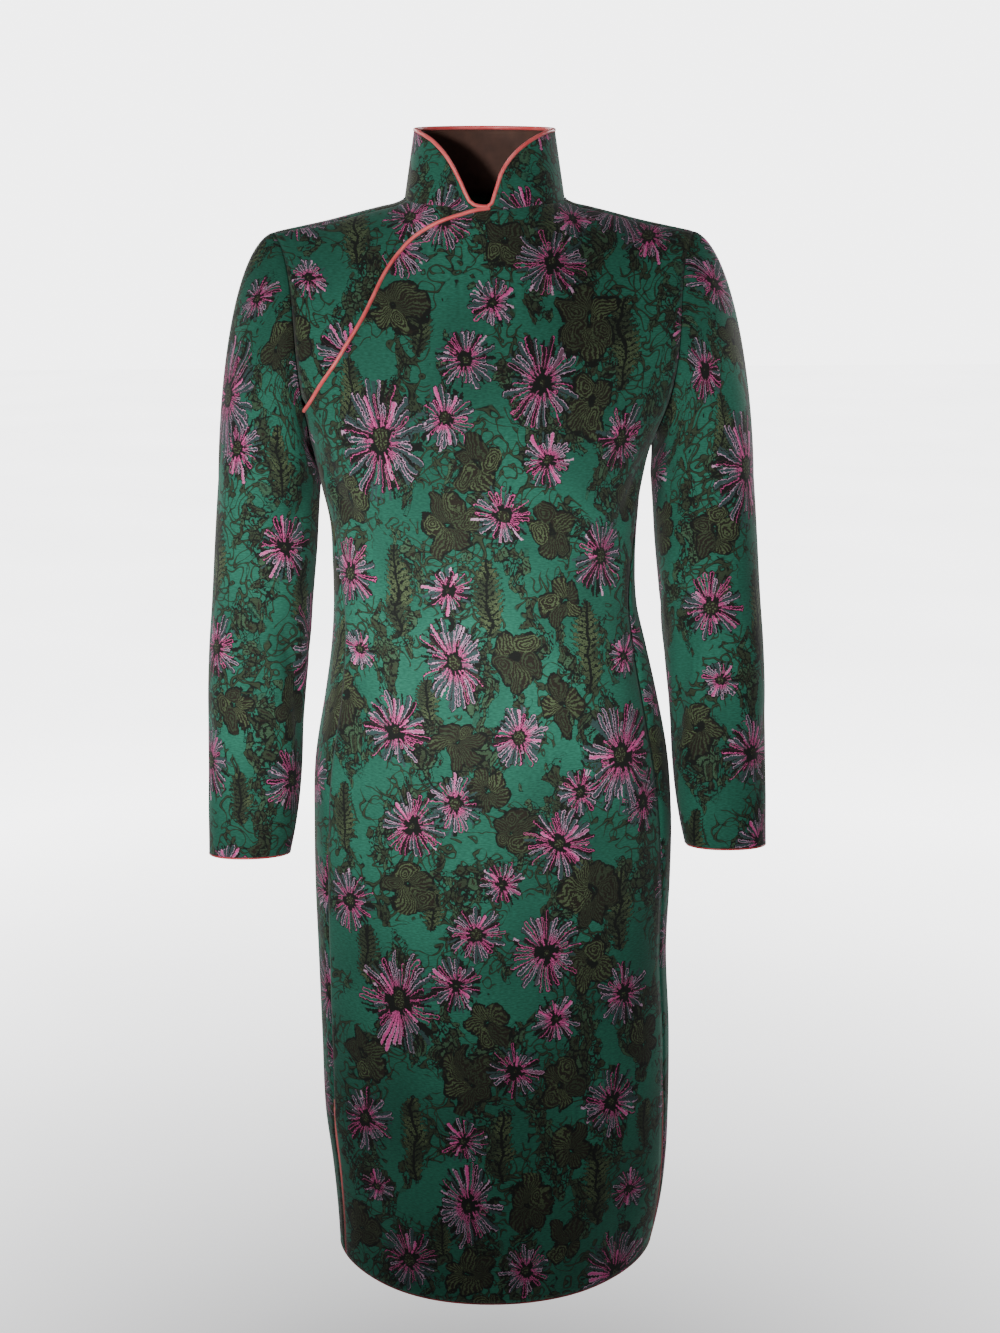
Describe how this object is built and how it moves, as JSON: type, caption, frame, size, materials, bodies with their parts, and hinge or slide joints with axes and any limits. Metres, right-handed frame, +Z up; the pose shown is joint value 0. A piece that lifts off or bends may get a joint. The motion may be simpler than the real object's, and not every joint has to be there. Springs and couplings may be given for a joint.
{
  "type": "cheongsam dress",
  "caption": "Long-sleeved knee-length cheongsam in flowered jacquard with a high stand collar, slanted front opening, side slits and satin piping, shaped as worn.",
  "frame": {"origin": "midway between the two points where the shoulders meet the neck, at their level and at the centre of the neck opening, where the wearer's shoulders hold the dress", "axes": "+Z up the dress from hem to collar, -Y out of the front, +X to the wearer's left"},
  "size_m": [0.5304, 0.2445, 1.1031],
  "materials": {
    "jacquard_cloth": "dull wool jacquard with a woven flower pattern",
    "satin_piping": "satin"
  },
  "bodies": {
    "root": {"front_panel": "jacquard_cloth", "back_panel": "jacquard_cloth", "under_lap": "jacquard_cloth", "sleeve_right": "jacquard_cloth", "sleeve_left": "jacquard_cloth", "collar": "jacquard_cloth", "collar_piping": "satin_piping", "placket_piping": "satin_piping", "hem_piping_front": "satin_piping", "hem_piping_back": "satin_piping", "cuff_piping_right": "satin_piping", "cuff_piping_left": "satin_piping"}
  },
  "joints": []
}
